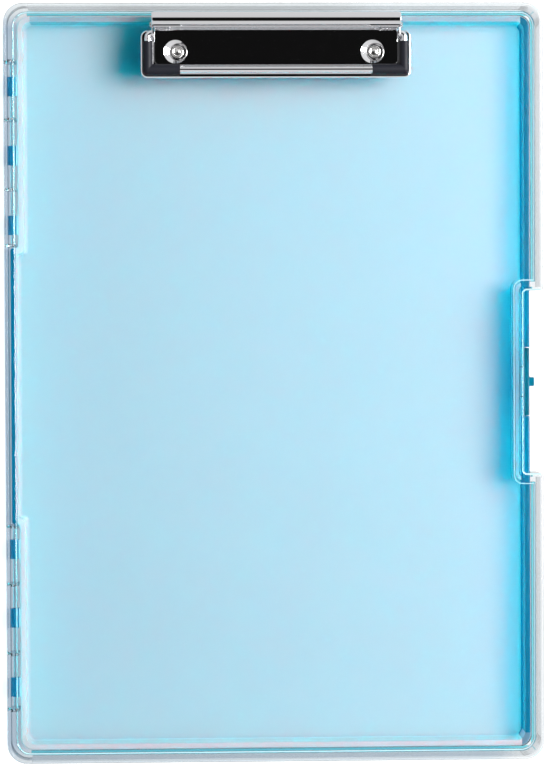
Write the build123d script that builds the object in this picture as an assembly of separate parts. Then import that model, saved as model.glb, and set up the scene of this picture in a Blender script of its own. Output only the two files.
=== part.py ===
from build123d import *
import os
from math import asin, cos, degrees, sqrt

os.makedirs("parts", exist_ok=True)

# A storage clipboard box lying closed on its back. X runs across it, Y along it towards
# the clip, Z up. The origin is the middle of its footprint, on the table. Millimetres.

# Box
box_width = 239.2  # over the lid, hinge side to latch side
box_length = 337.0  # over the lid, along the paper
box_height = 19.5  # table to the top of the lid's rim
corner_radius = 8.8  # lid corners, seen from above

# Lid: a writing panel, a raised hollow rim and a skirt
rim_width = 4.8  # outer face to the step down to the panel
rim_rise = 2.2  # rim above the panel
panel_thickness = 2.0
panel_corner_radius = 5.7
lid_wall = 1.6  # skirt and roof of the rim
rib_wall = 1.5  # locating rib that drops outside the tray
rib_depth = 3.0  # rib below the panel's underside
skirt_lift = 1.5  # skirt's lower edge above the table
rim_outer_round = 1.1
rim_inner_round = 0.7

# Thumb notch in the lid's right side
notch_length = 81.4
notch_depth = 8.8
notch_corner_radius = 1.2  # where the open side meets the notch's floor
notch_panel_radius = 4.2  # the same corner on the panel's side of the rim
notch_mouth_radius = 1.6
notch_skirt_depth = 6.3  # below the panel's underside, inside the tray

# Tray
tray_inset = 5.8  # outer face of the wall, in from the lid's outer face
tray_wall = 2.4
tray_floor = 1.8
tray_edge_round = 0.8  # top outer edge of the wall
tray_foot_round = 1.0  # bottom outer edge
cavity_round = 1.5  # inside, where wall and floor meet
seat_gap = 0.3  # lid's panel over the tray's wall
rib_gap = 0.4  # lid's rib outside the tray's wall
wall_pass_gap = 0.4  # lid's notch edge each side of the wall it crosses
notch_wall_gap = 0.4  # each side of the inner wall that stands in the lid's channel

# Middle of the hinge side, where the tray's wall stands further out
mid_wall_inset = 2.4
mid_wall_thickness = 2.6
mid_wall_gap = 0.5  # from the nearest cheek
mid_corner_radius = 1.2

# Hinge: cheeks of the lid carry two rods, and the tray's hooks grip the rods
hinge_inset = 3.3  # axis in from the hinge side's outer face
hinge_height = 7.5  # axis above the table
rod_radius = 1.0
eye_radius = 1.9
hook_clearance = 0.06  # radial, rod in hook
hook_width = 8.6
hook_mouth = 1.7  # narrower than the rod, which snaps in
hook_mouth_angle = 35.0  # degrees, from the table
cheek_thickness = 1.2
cheek_outer_inset = 0.6
short_skirt_rise = 2.6  # hinge-side skirt's lower edge above the axis
upper_hinge_start = 25.6  # first cheek, down from the lid's top edge
lower_hinge_end = 23.8  # last cheek, up from the lid's bottom edge
hinge_length = 81.4  # first cheek to last
second_cheek = 25.7  # places along one hinge, from its first cheek
third_cheek = 56.6
first_hook = 10.5
second_hook = 41.2
third_hook = 72.2

# Latch tongue in the tray's right wall
latch_length = 30.2
latch_slot = 0.3  # at each end of the tongue
latch_root_gap = 0.3  # tongue's round root over the tray's floor
latch_top_drop = 0.4  # tongue's top below the wall's top
catch_height = 0.3  # bead, stands off the inner face
catch_radius = 1.0
catch_length = 12.0
catch_level = 11.8  # bead's middle above the table
nub_length = 4.0
nub_reach = 2.2
nub_height = 3.4
nub_round = 0.6
window_length = 14.0  # slot in the lid's notch skirt, opposite the bead
window_height = 2.0

# Clip: pressed base plate
clip_width = 119.8
clip_shift = 1.0  # clip's middle to the right of the box's
clip_back_inset = 4.9  # rear of the lever, in from the lid's top edge
lever_depth = 6.6  # lever bar, front to rear
plate_sheet = 0.8
plate_depth = 25.0  # front edge to rear edge, behind the field
plate_end_depth = 21.0  # the same at the ends, beside the lever's arms
plate_front = 28.3  # front edge of the flange, ahead of the lever's rear
field_end_gap = 5.8  # raised mirror field, in from the flange's ends
field_front_gap = 5.3  # field behind the flange's front edge
field_back_gap = 3.0  # field ahead of the flange's rear edge
field_rise = 1.3
field_corner_radius = 2.6
field_edge_round = 0.5
flange_corner_radius = 3.0
flange_edge_round = 0.7
rivet_end_gap = 16.3  # rivets in from the flange's ends
rivet_setback = 11.4  # rivets behind the flange's front edge
dimple_diameter = 10.4
dimple_floor_diameter = 6.3
dimple_shift = 0.9  # dimples' rims to the left of their rivets

# Clip: pivot
pin_radius = 1.1
pin_setback = 5.2  # pin ahead of the lever's rear
pin_rise = 4.6  # pin above the panel
pin_overhang = 0.9  # pin beyond each arm
pin_clearance = 0.06
ear_radius = 1.9
ear_inset = 0.2  # ear's outer face in from the field's end

# Clip: lever
lever_rise = 10.2  # crests above the panel
ridge_setback = 3.2  # ridge ahead of the lever's rear
ridge_radius = 3.2
rear_slope_drop = 0.85
front_slope_run = 2.0  # from the ridge
front_slope_drop = 0.6
shoulder_drop = 0.9  # steeper stretch ahead of the front slope
lip_run = 0.4
lip_drop = 0.1
lever_roll_depth = 3.6  # rolled edge below the ridge
lever_roll_reach = 1.3  # rolled edge, inwards
lever_bend_radius = 0.42  # middle of the sheet
lever_rear_radius = 0.8
arm_gap = 0.3  # arm outside the ear
arm_eye_radius = 2.1
arm_corner_radius = 1.6
arm_front_drop = 1.0  # arm's front corner below its rear one
arm_edge_round = 0.5

# Clip: springs
spring_wire = 0.9
spring_radius = 1.8  # coil's mean radius
spring_quarters = 17  # quarter turns
spring_gap = 0.5  # between turns
spring_ear_gap = 0.9
spring_foot = 2.4  # leg along the plate
spring_leg = 2.2  # leg up to the lever

# Clip: bail and sleeves
wire_radius = 1.5
bail_front_gap = 3.4  # bail's front bar behind the flange's front edge
paper_gap = 0.6  # sleeves over the flange
bail_arm_gap = 0.2  # leg outside the lever's arm
bail_corner_radius = 1.8
bail_end_radius = 2.0
bail_reach = 16.0  # front bar to the bent-in ends
bail_end_drop = 0.9  # bent-in ends below the pin
bail_end_overhang = 0.3  # bent-in end past the arm's inner face
sleeve_radius = 2.35
sleeve_bore_gap = 0.03
sleeve_across = 14.2  # along the front bar, from the leg's middle
sleeve_along = 12.4  # along the leg, from the front bar's middle

# Rivets and washers
rivet_radius = 1.9
rivet_bore = 1.1  # hollow tail
rivet_head_radius = 2.9
rivet_head_height = 1.3
rivet_rim_height = 0.5  # straight side of the head
rivet_cup_radius = 1.5  # dimple in the head
rivet_cup_depth = 0.5
rivet_hole_gap = 0.1
washer_radius = 4.2
washer_thickness = 0.8
flare_radius = 2.8
flare_height = 0.7

# Levels above the table
rim_top = box_height
panel_top = rim_top - rim_rise
panel_bottom = panel_top - panel_thickness
roof_bottom = rim_top - lid_wall
rib_bottom = panel_bottom - rib_depth
tray_top = panel_bottom - seat_gap
short_skirt_bottom = hinge_height + short_skirt_rise
notch_skirt_bottom = panel_bottom - notch_skirt_depth

# Places seen from above
half_width = box_width / 2
half_length = box_length / 2
rib_inner = tray_inset - rib_gap
rib_outer = rib_inner - rib_wall
notch_wall_outer = lid_wall + notch_wall_gap
notch_wall_inner = rib_outer - notch_wall_gap
hinge_x = -half_width + hinge_inset
wall_outer_x = half_width - tray_inset
wall_inner_x = wall_outer_x - tray_wall
hinge_starts = {
    "upper": half_length - upper_hinge_start,
    "lower": -half_length + lower_hinge_end + hinge_length,
}
cheek_steps = (0.0, second_cheek, third_cheek, hinge_length)
hook_steps = (first_hook, second_hook, third_hook)


def plan_radius(inset):
    """Corner radius of the box's plan, drawn in by inset."""
    return corner_radius - (corner_radius - panel_corner_radius) * inset / rim_width


def slab(plan, bottom, top):
    """Solid over a plan drawn on the table, between two levels."""
    return extrude(Pos(0, 0, bottom) * plan, amount=top - bottom, dir=(0, 0, 1))


def block(x0, x1, y0, y1, z0, z1):
    """Plain block between two corners."""
    size = (x1 - x0, y1 - y0, z1 - z0)
    return Pos((x0 + x1) / 2, (y0 + y1) / 2, (z0 + z1) / 2) * Box(*size)


def along_x(profile, x0, x1):
    """Solid over a profile drawn with (y, z) as its own axes, between x0 and x1."""
    return extrude(Plane.YZ.offset(x0) * profile, amount=x1 - x0, dir=(1, 0, 0))


def along_y(profile, y0, y1):
    """Solid over a profile drawn with (x, z) as its own axes, between y0 and y1."""
    plane = Plane(origin=(0, y1, 0), x_dir=(1, 0, 0), z_dir=(0, -1, 0))
    return extrude(plane * profile, amount=y1 - y0, dir=(0, -1, 0))


# Lid


def lid_plan(inset):
    """The lid's outline with its thumb notch, drawn in by inset all round."""
    plan = RectangleRounded(box_width - 2 * inset, box_length - 2 * inset, plan_radius(inset))
    share = inset / rim_width
    radius = notch_corner_radius + (notch_panel_radius - notch_corner_radius) * share
    depth = notch_depth + inset
    notch = RectangleRounded(2 * depth, notch_length + 2 * inset, radius)
    plan -= Pos(half_width, 0) * notch
    mouth = notch_mouth_radius - inset
    if mouth > 0:
        corners = plan.vertices().filter_by_position(
            Axis.X, half_width - inset - 0.01, half_width - inset + 0.01
        )
        mouths = [v for v in corners if abs(abs(v.Y) - notch_length / 2 - inset) < 0.01]
        plan = fillet(mouths, mouth)
    return plan


def cheek_profile():
    """One hinge cheek, drawn as (x, z): a web under the rim with a round eye."""
    left = -half_width + cheek_outer_inset
    right = hinge_x + eye_radius
    web = Polygon(
        (hinge_x - eye_radius, hinge_height),
        (left, short_skirt_bottom),
        (left, roof_bottom + lid_wall / 2),
        (right, roof_bottom + lid_wall / 2),
        (right, hinge_height),
        align=None,
    )
    return web + Pos(hinge_x, hinge_height) * Circle(eye_radius)


def make_lid():
    lid = slab(lid_plan(0), skirt_lift, rim_top)
    lid -= slab(lid_plan(lid_wall) - lid_plan(rib_outer), skirt_lift, roof_bottom)
    lid -= slab(lid_plan(rib_outer), skirt_lift, rib_bottom)
    lid -= slab(lid_plan(rib_inner), rib_bottom, panel_bottom)
    lid -= slab(lid_plan(rim_width), panel_top, rim_top)

    # The hinge side keeps a short skirt and no rib.
    clear_to = -half_width + corner_radius + lid_wall
    strip = Pos(-half_width, 0) * Rectangle(2 * (clear_to + half_width), 2 * box_length)
    lid -= slab(strip, 0, short_skirt_bottom)
    lid -= slab(lid_plan(lid_wall) & strip, 0, panel_bottom)

    # The notch's edge crosses the tray's wall, and hangs inside the tray.
    reach = notch_length / 2 + rib_inner + wall_pass_gap
    pass_outer = wall_outer_x + wall_pass_gap
    pass_inner = wall_inner_x - wall_pass_gap
    lid -= block(pass_inner, pass_outer, -reach, reach, 0, panel_bottom)
    notch_inner = half_width - notch_depth - rim_width - rib_wall
    lid -= block(notch_inner, pass_inner, -reach, reach, 0, notch_skirt_bottom)
    window = Pos(0, catch_level) * RectangleRounded(
        window_length, window_height, window_height / 2 - 0.01
    )
    window_to = half_width - notch_depth
    lid -= along_x(window, window_to - lid_wall - wall_pass_gap, window_to + wall_pass_gap)

    # Rounded rim, on its outer and inner edge.
    top = lid.faces().sort_by(Axis.Z)[-1]
    lid = fillet(top.outer_wire().edges(), rim_outer_round)
    top = lid.faces().filter_by(Axis.Z).sort_by(Axis.Z)[-1]
    lid = fillet(top.inner_wires()[0].edges(), rim_inner_round)

    # Cheeks with the rods' holes.
    eye = Pos(hinge_x, hinge_height) * Circle(rod_radius)
    for start in hinge_starts.values():
        for step in cheek_steps:
            y = start - step
            half = cheek_thickness / 2
            lid += along_y(cheek_profile() - eye, y - half, y + half)

    # Holes for the clip's rivets.
    for side in (-1, 1):
        hole = Cylinder(rivet_radius + rivet_hole_gap, 3 * panel_thickness)
        lid -= Pos(clip_shift + side * rivet_x, rivet_y, panel_bottom) * hole
    return lid


def make_hinge_rod(start):
    half = cheek_thickness / 2
    y_top = start + half
    y_end = start - cheek_steps[-1] - half
    rod = along_y(Pos(hinge_x, hinge_height) * Circle(rod_radius), y_end, y_top)
    return rod


# Tray


def tray_plan(inset, mid_inset, mid_end, corner, mid_corner):
    """The tray's outline: inset all round, and mid_inset in the middle of the hinge side."""
    plan = RectangleRounded(box_width - 2 * inset, box_length - 2 * inset, corner)
    y_high = hinge_starts["upper"] - cheek_steps[-1] - mid_end
    y_low = hinge_starts["lower"] + mid_end
    x_out = -half_width + mid_inset
    x_in = -half_width + inset
    middle = Rectangle(2 * (x_in - x_out), y_high - y_low)
    plan += Pos(x_in, (y_high + y_low) / 2) * middle
    jogs = [v for v in plan.vertices() if abs(v.X - x_out) < 0.01 or abs(v.X - x_in) < 0.01]
    jogs = [v for v in jogs if y_low - 0.01 < v.Y < y_high + 0.01]
    return fillet(jogs, mid_corner)


def hook_profile():
    """One open hook of the tray, drawn as (x, z): an arm, a ring and a mouth."""
    wall_x = -half_width + tray_inset
    arm = Pos((hinge_x + wall_x) / 2, hinge_height) * Rectangle(wall_x - hinge_x, 2 * eye_radius)
    profile = arm + Pos(hinge_x, hinge_height) * Circle(eye_radius)
    profile -= Pos(hinge_x, hinge_height) * Circle(rod_radius + hook_clearance)
    mouth = Pos(-eye_radius, 0) * Rectangle(2 * eye_radius, hook_mouth)
    return profile - Pos(hinge_x, hinge_height) * Rot(0, 0, hook_mouth_angle) * mouth


def make_tray():
    end_gap = cheek_thickness / 2 + mid_wall_gap
    outer = tray_plan(
        tray_inset, mid_wall_inset, end_gap, plan_radius(tray_inset), mid_corner_radius
    )
    inner = tray_plan(
        tray_inset + tray_wall,
        mid_wall_inset + mid_wall_thickness,
        end_gap + tray_wall,
        plan_radius(tray_inset) - tray_wall / 2,
        mid_corner_radius + tray_wall / 6,
    )
    tray = slab(outer, 0, tray_top)
    foot = tray.faces().sort_by(Axis.Z)[0]
    tray = fillet(foot.edges(), tray_foot_round)
    rim = tray.faces().sort_by(Axis.Z)[-1]
    tray = fillet(rim.edges(), tray_edge_round)
    cavity = slab(inner, tray_floor, box_height)
    cavity = fillet(cavity.faces().sort_by(Axis.Z)[0].edges(), cavity_round)
    tray -= cavity

    # An inner wall follows the notch and stands in the lid's channel.
    ring = lid_plan(notch_wall_outer) - lid_plan(notch_wall_inner)
    notch_zone = Pos(wall_inner_x, 0) * Rectangle(
        2 * (notch_depth + notch_wall_inner), notch_length + 2 * corner_radius
    )
    beyond_wall = Pos(half_width, 0) * Rectangle(
        2 * (tray_inset + tray_wall / 2), box_length
    )
    tray += slab((ring & notch_zone) - beyond_wall, tray_floor / 2, tray_top)

    for start in hinge_starts.values():
        for step in hook_steps:
            y = start - step
            tray += along_y(hook_profile(), y - hook_width / 2, y + hook_width / 2)

    reach = latch_length / 2 + latch_slot
    tray -= block(
        wall_inner_x - cavity_round, half_width, -reach, reach, tray_floor, box_height
    )
    return tray


def make_latch():
    root_radius = tray_wall / 2
    root_z = tray_floor + latch_root_gap + root_radius
    middle_x = (wall_inner_x + wall_outer_x) / 2
    top = tray_top - latch_top_drop
    plate = Pos(middle_x, (root_z + top) / 2) * Rectangle(tray_wall, top - root_z)
    profile = plate + Pos(middle_x, root_z) * Circle(root_radius)
    tongue = along_y(profile, -latch_length / 2, latch_length / 2)
    crown = tongue.edges().filter_by(Axis.Y).sort_by(Axis.Z)[-2:]
    tongue = fillet(crown, tray_edge_round)

    # The bead is the cap of a long cylinder, catch_height proud of the inner face.
    bead = Pos(wall_inner_x + catch_radius - catch_height, catch_level) * Circle(catch_radius)
    tongue += along_y(bead, -catch_length / 2, catch_length / 2)

    nub = block(
        middle_x,
        wall_outer_x + nub_reach,
        -nub_length / 2,
        nub_length / 2,
        top - tray_edge_round - nub_height,
        top - tray_edge_round,
    )
    nub = fillet(nub.faces().sort_by(Axis.X)[-1].edges(), nub_round)
    return tongue + nub


# Clip

lever_back_y = half_length - clip_back_inset
plate_front_y = lever_back_y - plate_front
plate_back_y = plate_front_y + plate_depth
field_front_y = plate_front_y + field_front_gap
field_back_y = plate_back_y - field_back_gap
field_width = clip_width - 2 * field_end_gap
rivet_x = clip_width / 2 - rivet_end_gap
rivet_y = plate_front_y + rivet_setback
pin_y = lever_back_y - pin_setback
pin_z = panel_top + pin_rise
field_top = panel_top + plate_sheet + field_rise
ear_outer_x = field_width / 2 - ear_inset
arm_inner_x = ear_outer_x + arm_gap
arm_outer_x = arm_inner_x + plate_sheet
leg_x = arm_outer_x + bail_arm_gap + wire_radius
bail_y = plate_front_y + bail_front_gap
bail_z = panel_top + plate_sheet + paper_gap + sleeve_radius
bail_end_z = pin_z - bail_end_drop
bail_slope = asin((bail_end_z - bail_z) / bail_reach)
bail_end_y = bail_y + bail_reach * cos(bail_slope)


def field_plan(inset):
    """The raised field's outline, drawn in by inset."""
    return Pos(0, (field_front_y + field_back_y) / 2) * RectangleRounded(
        field_width - 2 * inset,
        field_back_y - field_front_y - 2 * inset,
        field_corner_radius - inset / 2,
    )


def oblique_cone(floor_radius, rim_radius, height):
    """Widening cup whose rim stands dimple_shift to the left of its floor."""
    rim = Pos(-dimple_shift, 0, height) * Circle(rim_radius)
    return loft([Circle(floor_radius), rim], ruled=True)


def make_base_plate():
    flange = Pos(0, plate_front_y + plate_end_depth / 2) * RectangleRounded(
        clip_width, plate_end_depth, flange_corner_radius
    )
    flange += Pos(0, plate_front_y + plate_depth / 2) * Rectangle(
        2 * ear_outer_x, plate_depth
    )
    plate = slab(flange, panel_top, panel_top + plate_sheet)
    plate = fillet(plate.faces().sort_by(Axis.Z)[-1].edges(), flange_edge_round)
    plate += slab(field_plan(0), panel_top, field_top)
    edge = plate.faces().filter_by(Axis.Z).sort_by(Axis.Z)[-1]
    plate = fillet(edge.edges(), field_edge_round)
    hollow = slab(field_plan(plate_sheet), panel_top, field_top - plate_sheet)

    # The dimples come back down to the panel, where the rivets hold the plate.
    floor_radius = dimple_floor_diameter / 2
    rim_radius = dimple_diameter / 2
    depth = field_top - panel_top - plate_sheet
    bowl = oblique_cone(floor_radius, rim_radius, depth)
    jacket = oblique_cone(
        floor_radius + plate_sheet, rim_radius + plate_sheet, depth + plate_sheet
    )
    hole = Cylinder(rivet_radius + rivet_hole_gap, 4 * plate_sheet)
    spots = [Pos(side * rivet_x, rivet_y, panel_top) for side in (-1, 1)]
    for spot in spots:
        hollow -= spot * jacket
    plate -= hollow
    for spot in spots:
        plate -= spot * Pos(0, 0, plate_sheet) * bowl
        plate -= spot * hole

    # Ears for the pin, bent up from the flange's rear.
    foot = panel_top + plate_sheet / 2
    ear = Pos(pin_y, (foot + pin_z) / 2) * Rectangle(2 * ear_radius, pin_z - foot)
    ear += Pos(pin_y, pin_z) * Circle(ear_radius)
    ear -= Pos(pin_y, pin_z) * Circle(pin_radius)
    for side in (-1, 1):
        x0, x1 = sorted((side * ear_outer_x, side * (ear_outer_x - plate_sheet)))
        plate += along_x(ear, x0, x1)
    return plate


def make_pin():
    reach = arm_outer_x + pin_overhang
    pin = along_x(Pos(pin_y, pin_z) * Circle(pin_radius), -reach, reach)
    return chamfer(pin.edges().filter_by(GeomType.CIRCLE), pin_radius / 4)


def lever_section():
    """The lever bar's sheet, drawn as (y, z): a lip, a ridge and a rolled rear edge."""
    half = plate_sheet / 2
    front = lever_back_y - lever_depth + half
    rear = lever_back_y - half
    ridge_y = lever_back_y - ridge_setback
    ridge_z = panel_top + lever_rise - half
    slope_y = ridge_y - front_slope_run
    slope_z = ridge_z - front_slope_drop
    line = FilletPolyline(
        (front, slope_z - shoulder_drop - lip_drop),
        (front + lip_run, slope_z - shoulder_drop),
        (slope_y, slope_z),
        (ridge_y, ridge_z),
        (rear, ridge_z - rear_slope_drop),
        (rear, ridge_z - lever_roll_depth),
        (rear - lever_roll_reach, ridge_z - lever_roll_depth),
        radius=(
            lever_bend_radius,
            lever_bend_radius,
            ridge_radius,
            lever_rear_radius,
            lever_bend_radius,
        ),
    )
    return make_face(offset(line, amount=half, side=Side.BOTH, kind=Kind.ARC))


def make_lever():
    bar = along_x(lever_section(), -arm_inner_x, arm_inner_x)

    # Each arm caps the bar's end, turns on the pin and holds the bail's bent-in end.
    crest = panel_top + lever_rise
    hole_pin = Pos(pin_y, pin_z) * Circle(pin_radius + pin_clearance)
    hole_wire = Pos(bail_end_y, bail_end_z) * Circle(wire_radius)
    corner = Circle(arm_corner_radius)
    rear_y = lever_back_y - arm_corner_radius
    front_y = lever_back_y - lever_depth + arm_corner_radius
    rear_top = crest - rear_slope_drop
    front_top = crest - front_slope_drop - arm_front_drop
    ridge_centre = Pos(lever_back_y - ridge_setback, crest - ridge_radius)
    outline = make_hull(
        (Pos(pin_y, pin_z) * Circle(arm_eye_radius)).edges()
        + (Pos(rear_y, rear_top - arm_corner_radius) * corner).edges()
        + (ridge_centre * Circle(ridge_radius)).edges()
        + (Pos(front_y, front_top - arm_corner_radius) * corner).edges()
    )
    neck = make_hull(
        (Pos(pin_y, pin_z) * Circle(arm_eye_radius)).edges()
        + (Pos(bail_end_y, bail_end_z) * Circle(wire_radius + plate_sheet)).edges()
    )
    arm = outline + neck - hole_pin - hole_wire
    for side in (-1, 1):
        x0, x1 = sorted((side * arm_inner_x, side * arm_outer_x))
        bar += along_x(arm, x0, x1)
    for side in (-1, 1):
        outer = bar.faces().filter_by(Axis.X).sort_by(Axis.X)[0 if side < 0 else -1]
        bar = fillet(outer.outer_wire().edges(), arm_edge_round)
    return bar


def biarc(start, start_way, end, end_way):
    """Two arcs that meet smoothly, between two points with their directions."""
    gap, ways = end - start, start_way + end_way
    a, b, c = 4 - ways.dot(ways), gap.dot(ways), gap.dot(gap)
    reach = (sqrt(b * b + a * c) - b) / a
    middle = (start + reach * start_way + end - reach * end_way) * 0.5
    first = Edge.make_tangent_arc(start, start_way, middle)
    return [first, Edge.make_tangent_arc(middle, first % 1, end)]


def make_spring(side):
    """Torsion spring round the pin, with a leg on the plate and a leg under the lever."""
    inner = ear_outer_x - plate_sheet - spring_ear_gap
    length = spring_quarters / 4 * (spring_wire + spring_gap)
    coil = Helix(pitch=spring_wire + spring_gap, height=length, radius=spring_radius)
    # The helix starts on its own +X and climbs its own Z, which is laid along the pin.
    plane = Plane(origin=(inner - length, pin_y, pin_z), x_dir=(0, 0, -1), z_dir=(1, 0, 0))
    path = (plane * coil).edge()
    stops = [i / spring_quarters for i in range(spring_quarters + 1)]
    foot = Edge.make_line(path @ 0 - spring_foot * (path % 0), path @ 0)
    leg = Edge.make_line(path @ 1, path @ 1 + spring_leg * (path % 1))
    turns = [biarc(path @ a, path % a, path @ b, path % b) for a, b in zip(stops, stops[1:])]
    wire = Wire([foot] + sum(turns, []) + [leg])
    if side > 0:
        report_gap(wire, spring_wire, spring_quarters)
    section = Plane(origin=wire @ 0, z_dir=wire % 0) * Circle(spring_wire / 2)
    spring = sweep(section, path=wire)
    if side < 0:
        spring = mirror(spring, about=Plane.YZ)
    return spring


def report_gap(wire, thickness, quarters):
    """Print the least gap of a wound tube to itself, measured on points of its line."""
    count = 24 * quarters
    points = [wire @ (i / count) for i in range(count + 1)]
    apart = int(2 * thickness * count / wire.length) + 1
    least = min(
        (p - q).length for i, p in enumerate(points) for q in points[i + apart :]
    )
    print("spring's least gap to itself, mm:", round(least - thickness, 3))


def bail_line():
    """The bail's middle line, drawn flat with its front bar on the X axis."""
    tip = arm_inner_x - bail_end_overhang
    return FilletPolyline(
        (-tip, bail_reach),
        (-leg_x, bail_reach),
        (-leg_x, 0),
        (leg_x, 0),
        (leg_x, bail_reach),
        (tip, bail_reach),
        radius=(bail_end_radius, bail_corner_radius, bail_corner_radius, bail_end_radius),
    )


def tube(line, radius):
    """Round bar along a flat line."""
    section = Plane(origin=line @ 0, z_dir=line % 0) * Circle(radius)
    return sweep(section, path=line)


def on_bail(solid):
    """Raise what is drawn flat to the bail's place and tilt."""
    return Pos(0, bail_y, bail_z) * Rot(degrees(bail_slope), 0, 0) * solid


def make_sleeve(side):
    """Moulded elbow: two round legs that meet in a ball, bored for the bail."""
    corner = (side * leg_x, 0)
    inner_end = (side * (leg_x - sleeve_across), 0)
    rear_end = (side * leg_x, sleeve_along)
    elbow = tube(Line(inner_end, corner), sleeve_radius)
    elbow += tube(Line(corner, rear_end), sleeve_radius)
    elbow += Pos(*corner) * Sphere(sleeve_radius)
    bore = FilletPolyline(inner_end, corner, rear_end, radius=bail_corner_radius)
    return on_bail(elbow - tube(bore, wire_radius + sleeve_bore_gap))


def make_rivet(side):
    """Rivet with a domed, dimpled head and a hollow tail, turned from half of its section."""
    head_bottom = panel_top + plate_sheet
    head_top = head_bottom + rivet_head_height
    rim = head_bottom + rivet_rim_height
    cup = head_top - rivet_cup_depth
    flare_top = panel_bottom - washer_thickness
    flare_bottom = flare_top - flare_height
    outline = Polyline(
        (0, cup),
        (0, panel_top),
        (rivet_bore, panel_top),
        (rivet_bore, flare_bottom),
        (flare_radius, flare_bottom),
        (flare_radius, flare_top),
        (rivet_radius, flare_top),
        (rivet_radius, head_bottom),
        (rivet_head_radius, head_bottom),
        (rivet_head_radius, rim),
    )
    crown_radius = (rivet_head_radius + rivet_cup_radius) / 2
    outline += ThreePointArc(
        (rivet_head_radius, rim), (crown_radius, head_top), (rivet_cup_radius, rim)
    )
    outline += Line((rivet_cup_radius, rim), (0, cup))
    rivet = revolve(Plane.XZ * make_face(outline.edges()), Axis.Z)
    return Pos(side * rivet_x, rivet_y) * rivet


def make_washer(side):
    ring = Circle(washer_radius) - Circle(rivet_radius + rivet_hole_gap)
    plan = Pos(side * rivet_x, rivet_y) * ring
    return slab(plan, panel_bottom - washer_thickness, panel_bottom)


box = {
    "base_tray": make_tray(),
    "latch_tongue": make_latch(),
    "lid_shell": make_lid(),
    "hinge_rod_upper": make_hinge_rod(hinge_starts["upper"]),
    "hinge_rod_lower": make_hinge_rod(hinge_starts["lower"]),
}
clip = {
    "clip_base_plate": make_base_plate(),
    "clip_pivot_pin": make_pin(),
    "clip_lever": make_lever(),
    "bail_wire": on_bail(tube(bail_line(), wire_radius)),
}
for name, side in (("left", -1), ("right", 1)):
    clip["clip_spring_" + name] = make_spring(side)
    clip["corner_sleeve_" + name] = make_sleeve(side)
    clip["clip_rivet_" + name] = make_rivet(side)
    clip["rivet_washer_" + name] = make_washer(side)

for name, shape in box.items():
    export_step(shape, "parts/" + name + ".step")
for name, shape in clip.items():
    export_step(Pos(clip_shift, 0) * shape, "parts/" + name + ".step")
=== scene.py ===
from math import cos, radians, sin

import bpy
import numpy as np
from mathutils import Euler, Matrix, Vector

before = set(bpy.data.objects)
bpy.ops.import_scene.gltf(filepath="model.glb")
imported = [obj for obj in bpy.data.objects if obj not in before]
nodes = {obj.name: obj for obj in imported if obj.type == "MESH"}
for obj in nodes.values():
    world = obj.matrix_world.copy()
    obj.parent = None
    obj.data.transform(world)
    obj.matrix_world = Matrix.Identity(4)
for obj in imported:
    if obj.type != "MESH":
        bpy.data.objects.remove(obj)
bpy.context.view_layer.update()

scene = bpy.context.scene


# Node trees: Wire is a socket that takes part in plain sums, Graph adds every other node
class Wire:
    def __init__(self, graph, socket):
        self.graph, self.socket = graph, socket

    def maths(self, operation, *others):
        return self.graph.add("ShaderNodeMath", {"operation": operation}, self, *others)

    def __add__(self, other):
        return self.maths("ADD", other)

    def __sub__(self, other):
        return self.maths("SUBTRACT", other)

    def __rsub__(self, other):
        return self.graph.add("ShaderNodeMath", {"operation": "SUBTRACT"}, other, self)

    def __mul__(self, other):
        return self.maths("MULTIPLY", other)

    def __gt__(self, other):
        return self.maths("GREATER_THAN", other)

    def __lt__(self, other):
        return self.maths("LESS_THAN", other)

    def __abs__(self):
        return self.maths("ABSOLUTE")

    __radd__, __rmul__ = __add__, __mul__

    def clamp(self, low=0.0, high=1.0):
        return self.maths("MAXIMUM", low).maths("MINIMUM", high)

    # 0 below low, 1 above high, smooth in between
    def step(self, low, high):
        smooth = {"interpolation_type": "SMOOTHSTEP"}
        return self.graph.add("ShaderNodeMapRange", smooth, self, low, high, 0.0, 1.0)


class Graph:
    def __init__(self, owner):
        owner.use_nodes = True
        self.tree = owner.node_tree
        self.tree.nodes.clear()

    # an input by its number, or the one that shows under a name: a Mix node has one for each kind of data
    def findInput(self, node, key):
        if isinstance(key, int):
            return node.inputs[key]
        name = key.replace("_", " ")
        return next(each for each in node.inputs if each.name == name and each.enabled)

    # kind of node, its settings, then its inputs in order or by name; out picks the output
    def add(self, kind, settings=None, *values, out=0, **named):
        node = self.tree.nodes.new(kind)
        for key, value in (settings or {}).items():
            setattr(node, key, value)
        for key, value in list(enumerate(values)) + list(named.items()):
            if value is None:
                continue
            target = self.findInput(node, key)
            if isinstance(value, Wire):
                self.tree.links.new(value.socket, target)
            else:
                target.default_value = value
        return Wire(self, node.outputs[out]) if node.outputs else node

    def mixColours(self, share, first, second):
        return self.add("ShaderNodeMix", {"data_type": "RGBA"}, out=2, Factor=share, A=first, B=second)

    def mixShaders(self, share, first, second):
        return self.add("ShaderNodeMixShader", None, share, first, second)

    def noise(self, place, scale, detail):
        return self.add("ShaderNodeTexNoise", None, place, Scale=scale, Detail=detail)

    def bump(self, height, strength, distance):
        return self.add("ShaderNodeBump", None, Strength=strength, Distance=distance, Height=height)


def rgb(red, green, blue, alpha=1.0):
    return (red, green, blue, alpha)


def newMaterial(name):
    material = bpy.data.materials.new(name)
    return material, Graph(material)


def finishWith(graph, surface, volume=None):
    graph.add("ShaderNodeOutputMaterial", None, Surface=surface, Volume=volume)


def parted(graph, vector):
    return [graph.add("ShaderNodeSeparateXYZ", None, vector, out=each) for each in ("X", "Y", "Z")]


# how much of a face's normal points up or down: 0 on an upright face, 1 on a level one
def levelness(graph):
    return abs(parted(graph, graph.add("ShaderNodeTexCoord", out="Normal"))[2])


def within(across, along, reach):
    return (abs(across) < reach[0]) * (abs(along) < reach[1])


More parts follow.
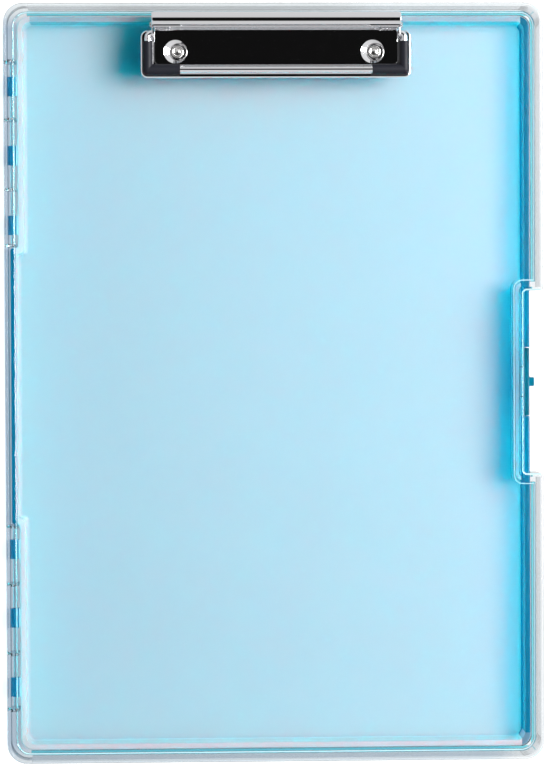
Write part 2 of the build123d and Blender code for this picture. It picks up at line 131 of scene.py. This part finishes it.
# Light passes through the plastic: a shadow ray or a diffuse ray meets a see-through surface, not glass.
# Each plastic tints it in its own way on level faces, on upright ones and at their brim, and the lid's
# step at the notch lets less of it through.
passing = {"levelBetween": (0.5, 0.95), "notchReach": 0.0450, "notchBrimRise": 0.0070}


def letLightThrough(graph, place, glass, part):
    light = [graph.add("ShaderNodeLightPath", out=each) for each in ("Is Shadow Ray", "Is Diffuse Ray")]
    across, along, height = parted(graph, place)
    steep = 1.0 - levelness(graph).step(*passing["levelBetween"])
    byNotch = (across > 0.0) * (abs(along) < passing["notchReach"])
    tinted = {
        each: graph.add("ShaderNodeBsdfTransparent", None, Color=rgb(*part[each]))
        for each in ("level", "upright", "brim", "step") if each in part
    }
    towardsBrim = (height - passing["notchBrimRise"] * byNotch).step(*part["brimBetween"])
    side = graph.mixShaders(towardsBrim, tinted["upright"], tinted["brim"])
    if "step" in part:
        side = graph.mixShaders((height > part["stepFrom"]) * byNotch, side, tinted["step"])
    seeThrough = graph.mixShaders(steep, tinted["level"], side)
    return graph.mixShaders(light[0] + light[1], glass, seeThrough)


# Lid: places are metres from the middle of the box, across it and along it, or above the table
clearLid = {
    "index": 1.5, "roughness": 0.02, "scuffing": 0.02, "scuffScale": 900.0, "clear": (0.94, 0.975, 1.0),
    "waveScale": 40.0, "waveStrength": 0.25, "waveHeight": 0.000012,
    "level": (0.97, 0.985, 0.985), "upright": (0.99, 0.99, 0.99),
    "brim": (0.99, 0.99, 0.99), "brimBetween": (0.0150, 0.0156),
    "step": (0.60, 0.62, 0.64), "stepFrom": 0.0154,
    "ribPaintedShade": (0.05, 0.54, 0.68), "ribTop": 0.0153,
    "ribOutside": (0.1140, 0.1629), "ribWithin": (0.1159, 0.1648),
    "paintedGleam": (0.35, 0.50, 0.55), "gleamRoughness": 0.2, "gleamShare": 0.90,
    "glow": (0.66, 0.95, 1.0), "paintedGlowLevel": 0.60,
    "gleamFrom": -0.1130, "gleamWithin": (0.1182, 0.1671),
    "roundFrom": (0.1, 0.4), "roundTo": (0.86, 0.99),
    "notchEdge": (0.1095, 0.0400), "notchEdgeLoss": 0.75,
}


def lidPlastic(part=clearLid):
    material, graph = newMaterial("clear_lid_plastic")
    place = graph.add("ShaderNodeTexCoord", out="Object")
    wave = graph.noise(place, part["waveScale"], 2.0)
    scuff = graph.noise(place, part["scuffScale"], 3.0)
    bump = graph.bump(wave, part["waveStrength"], part["waveHeight"])

    # painted shade: the clear rib beside the tray's wall is tinted the dark teal of the wall in shade
    across, along, height = parted(graph, place)
    beside = ((abs(across) > part["ribOutside"][0]) + (abs(along) > part["ribOutside"][1])).clamp()
    beside = beside * within(across, along, part["ribWithin"]) * (height < part["ribTop"])
    glass = graph.add(
        "ShaderNodeBsdfPrincipled", None,
        Base_Color=graph.mixColours(beside, rgb(*part["clear"]), rgb(*part["ribPaintedShade"])),
        Roughness=part["roughness"] + part["scuffing"] * scuff,
        IOR=part["index"], Transmission_Weight=1.0, Normal=bump,
    )

    # painted highlight: rounded edges inside the outline are painted pale and made to glow, less so at the
    # notch
    tilt = levelness(graph)
    inside = within(across, along, part["gleamWithin"])
    inside = inside * (across > part["gleamFrom"]) * (height > part["stepFrom"])
    atNotchEdge = (across > part["notchEdge"][0]) * (abs(along) < part["notchEdge"][1])
    inside = inside * (1.0 - part["notchEdgeLoss"] * atNotchEdge)
    paintedGleamEdges = tilt.step(*part["roundFrom"]) * (1.0 - tilt.step(*part["roundTo"])) * inside
    paintedGleam = graph.add(
        "ShaderNodeBsdfPrincipled", None, Base_Color=rgb(*part["paintedGleam"]), Roughness=part["gleamRoughness"],
        Emission_Color=rgb(*part["glow"]), Emission_Strength=part["paintedGlowLevel"],
    )
    body = graph.mixShaders(paintedGleamEdges * part["gleamShare"], glass, paintedGleam)
    finishWith(graph, letLightThrough(graph, place, body, part))
    return material


# Tray: its blue plastic takes out most red, some green and little blue, per metre of its thickness.
# The floor and the walls have their own colours. Walls that face the lamp are painted lighter and glow a
# little, as painted light. The walls by the right and left edges are painted a dark teal, as painted shade.
blueTray = {
    "perMetre": (161.0, 70.0, 20.0), "index": 1.5, "haze": 0.97, "shine": 0.15,
    "grainScale": 700.0, "grainStrength": 0.2, "grainHeight": 0.00005,
    "glassRoughness": (0.15, 0.10), "hazeRoughness": (0.12, 0.06),
    "floorColour": (0.54, 0.73, 0.81), "floorTop": 0.0020,
    "wallColour": (0.42, 0.85, 0.97), "wallFrom": 0.0036,
    "paintedLightColour": (0.64, 0.88, 0.97), "paintedLightFrom": (-0.1080, -0.1570), "paintedLightGlow": (0.18, 0.14, 0.12),
    "paintedShadeColour": (0.001, 0.24, 0.42), "paintedShadeFrom": 0.0022, "rightEdge": 0.1098, "leftEdge": -0.1147,
    "level": (0.10, 0.52, 0.64), "upright": (0.05, 0.43, 0.56),
    "brim": (0.98, 0.90, 0.93), "brimBetween": (-0.003, 0.0115),
    "softness": (0.01, 0.8, 1.0), "softReach": 0.05,
}


def trayPlastic(part=blueTray):
    material, graph = newMaterial("blue_tray_plastic")
    place = graph.add("ShaderNodeTexCoord", out="Object")
    grain = graph.noise(place, part["grainScale"], 4.0)
    bump = graph.bump(grain, part["grainStrength"], part["grainHeight"])
    roughness = {each: part[each][0] + part[each][1] * grain for each in ("glassRoughness", "hazeRoughness")}

    across, along, height = parted(graph, place)
    # painted light: walls on the left and at the bottom, which face the lamp, are painted a lighter colour
    paintedLight = ((across < part["paintedLightFrom"][0]) + (along < part["paintedLightFrom"][1])).clamp()
    wall = height.step(part["floorTop"], part["wallFrom"])
    # painted shade: the walls nearest the right and left edges are painted a dark teal shade
    paintedShadeAtEdge = ((across > part["rightEdge"]) + (across < part["leftEdge"])) * (height > part["paintedShadeFrom"])
    colour = rgb(*part["wallColour"])
    for share, tone in ((paintedLight, "paintedLightColour"), (1.0 - wall, "floorColour"), (paintedShadeAtEdge, "paintedShadeColour")):
        colour = graph.mixColours(share, colour, rgb(*part[tone]))
    paintedLightInside = paintedLight * wall * (across > part["leftEdge"])  # painted light: walls that face the lamp are given a faint glow

    glass = graph.add(
        "ShaderNodeBsdfPrincipled", None, Base_Color=rgb(1, 1, 1), Roughness=roughness["glassRoughness"],
        IOR=part["index"], Transmission_Weight=1.0, Normal=bump,
    )
    haze = graph.add(
        "ShaderNodeBsdfPrincipled", {"subsurface_method": "BURLEY"}, Base_Color=colour,
        Roughness=roughness["hazeRoughness"], IOR=part["index"], Specular_IOR_Level=part["shine"],
        Subsurface_Weight=1.0, Subsurface_Radius=part["softness"], Subsurface_Scale=part["softReach"],
        Emission_Color=graph.mixColours(paintedLightInside, rgb(0, 0, 0), rgb(*part["paintedLightGlow"])),
        Emission_Strength=1.0, Normal=bump,
    )
    body = graph.mixShaders(part["haze"], glass, haze)
    density = part["perMetre"][0]
    keep = [1.0 - each / density for each in part["perMetre"]]
    inside = graph.add("ShaderNodeVolumeAbsorption", None, Color=rgb(*keep), Density=density)
    finishWith(graph, letLightThrough(graph, place, body, part), inside)
    return material


# Clip's metals: smudges and fine wear share one grain, and each metal has its own colour and wear
metalGrain = {"smudgeScale": 140.0, "fineScale": 1800.0, "strength": 0.1, "height": 0.00002}


def metal(name, colour, roughness, wear):
    material, graph = newMaterial(name)
    place = graph.add("ShaderNodeTexCoord", out="Object")
    smudge = graph.noise(place, metalGrain["smudgeScale"], 3.0)
    fine = graph.noise(place, metalGrain["fineScale"], 2.0)
    shine = graph.add(
        "ShaderNodeBsdfPrincipled", None, Base_Color=rgb(*colour), Metallic=1.0,
        Roughness=roughness + wear * smudge * fine,
        Normal=graph.bump(smudge, metalGrain["strength"], metalGrain["height"]),
    )
    finishWith(graph, shine)
    return material


sleeve = {
    "colour": (0.012, 0.013, 0.020), "roughness": (0.42, 0.15), "index": 1.5, "shine": 0.25,
    "grainScale": 500.0, "grainStrength": 0.3, "grainHeight": 0.0001,
}


def sleeveVinyl(part=sleeve):
    material, graph = newMaterial("black_sleeve_vinyl")
    place = graph.add("ShaderNodeTexCoord", out="Object")
    grain = graph.noise(place, part["grainScale"], 4.0)
    skin = graph.add(
        "ShaderNodeBsdfPrincipled", None, Base_Color=rgb(*part["colour"]),
        Roughness=part["roughness"][0] + part["roughness"][1] * grain,
        IOR=part["index"], Specular_IOR_Level=part["shine"],
        Normal=graph.bump(grain, part["grainStrength"], part["grainHeight"]),
    )
    finishWith(graph, skin)
    return material


finishes = {
    "tray": trayPlastic(),
    "lid": lidPlastic(),
    "plate": metal("plate_chrome", (0.86, 0.86, 0.88), 0.02, 0.10),
    "pin": metal("pin_steel", (0.62, 0.62, 0.64), 0.18, 0.20),
    "rivet": metal("rivet_nickel", (0.80, 0.79, 0.78), 0.10, 0.15),
    "sleeve": sleeveVinyl(),
}
wears = {
    "base_tray": "tray", "latch_tongue": "tray",
    "lid_shell": "lid", "hinge_rod_upper": "lid", "hinge_rod_lower": "lid",
    "clip_base_plate": "plate", "clip_lever": "plate", "bail_wire": "plate", "clip_pivot_pin": "pin",
    "clip_spring_left": "pin", "clip_spring_right": "pin",
    "clip_rivet_left": "rivet", "clip_rivet_right": "rivet",
    "rivet_washer_left": "rivet", "rivet_washer_right": "rivet",
    "corner_sleeve_left": "sleeve", "corner_sleeve_right": "sleeve",
}
for name, finish in wears.items():
    slots = nodes[name].data.materials
    slots.clear()
    slots.append(finishes[finish])
print("finishes on", len(wears), "nodes")


# Table: it glows white to the camera, and faintly to reflections and to what looks through the plastic,
# as long as that has crossed fewer surfaces than mostSurfaces
table = {
    "size": 6.0, "drop": 0.0002, "white": 0.55, "glow": 0.90, "throughPlastic": 0.20, "mostSurfaces": 2.5,
}


def makeTable():
    half = table["size"] / 2
    corners = np.array([[-half, -half], [half, -half], [half, half], [-half, half]])
    mesh = bpy.data.meshes.new("table_top")
    mesh.from_pydata([(x, y, -table["drop"]) for x, y in corners], [], [(0, 1, 2, 3)])
    top = bpy.data.objects.new("table_top", mesh)
    scene.collection.objects.link(top)
    material, graph = newMaterial("white_table")
    white = graph.add("ShaderNodeBsdfDiffuse", None, Color=rgb(*[table["white"]] * 3))
    glow = graph.add("ShaderNodeEmission", None, Color=rgb(1, 1, 1), Strength=table["glow"])
    both = graph.add("ShaderNodeAddShader", None, white, glow)
    rays = {
        name: graph.add("ShaderNodeLightPath", out=name)
        for name in ("Is Camera Ray", "Is Glossy Ray", "Is Transmission Ray", "Transmission Depth")
    }
    nearTop = rays["Transmission Depth"] < table["mostSurfaces"]
    through = rays["Is Glossy Ray"] + rays["Is Transmission Ray"] * nearTop
    seen = rays["Is Camera Ray"] + table["throughPlastic"] * through
    finishWith(graph, graph.mixShaders(seen.clamp(), white, both))
    mesh.materials.append(material)


makeTable()
print("table laid")

# Studio: metal and glass see a pale tent with a dark opening overhead, where the camera hangs.
# A ray that has bounced off a dull surface no longer sees the tent.
studio = {
    "tent": 0.85, "opening": 0.007, "darkFrom": 27.0, "darkTo": 16.0, "mostBounces": 0.5,
    "leftDim": {"Is Glossy Ray": 0.35, "Is Transmission Ray": 0.80},
}


def makeStudio():
    world = bpy.data.worlds.new("studio_tent")
    scene.world = world
    graph = Graph(world)
    across, up = parted(graph, graph.add("ShaderNodeTexCoord", out="Generated"))[::2]
    opening = up.step(cos(radians(studio["darkFrom"])), cos(radians(studio["darkTo"])))
    towardsLeft = 0.5 - 0.5 * across
    tent = studio["tent"] * (1.0 - opening) + studio["opening"]
    rays = {
        name: graph.add("ShaderNodeLightPath", out=name)
        for name in ("Is Camera Ray", "Is Glossy Ray", "Is Transmission Ray", "Diffuse Depth")
    }
    seen = sum(rays[name] * (1.0 - dim * towardsLeft) for name, dim in studio["leftDim"].items())
    seen = seen.clamp() * (rays["Diffuse Depth"] < studio["mostBounces"])
    level = tent * seen * (1.0 - rays["Is Camera Ray"]) + rays["Is Camera Ray"]
    glow = graph.add("ShaderNodeBackground", None, Color=rgb(1, 1, 1), Strength=level)
    graph.add("ShaderNodeOutputWorld", None, Surface=glow)


makeStudio()

# Lamps: name, turn from +X towards +Y, height above the table in degrees, distance, size, watts
lamps = [("key_softbox", 11.0, 52.0, 1.6, 0.8, 37.5)]
for name, turn, rise, far, size, watts in lamps:
    light = bpy.data.lights.new(name, "AREA")
    light.energy, light.size = watts, size
    lamp = bpy.data.objects.new(name, light)
    scene.collection.objects.link(lamp)
    turn, rise = radians(turn), radians(rise)
    lamp.location = far * Vector((cos(turn) * cos(rise), sin(turn) * cos(rise), sin(rise)))
    lamp.rotation_euler = (-lamp.location).to_track_quat("-Z", "Y").to_euler()
print("studio and lamps set:", len(lamps))

# Camera: straight above, a little off square, as the photograph shows it
view = {
    "place": (-0.03749, 0.02475, 1.2), "turn": (-0.02074, -0.03168, -0.00455),
    "focalPixels": 2664.3, "framePixels": 766, "sensor": 36.0,
}
camera = bpy.data.cameras.new("camera")
camera.sensor_width = view["sensor"]
camera.lens = view["focalPixels"] / view["framePixels"] * camera.sensor_width
eye = bpy.data.objects.new("camera", camera)
scene.collection.objects.link(eye)
eye.location = view["place"]
eye.rotation_euler = Euler(view["turn"])
scene.camera = eye
scene.view_settings.view_transform = "Standard"
print("camera set")
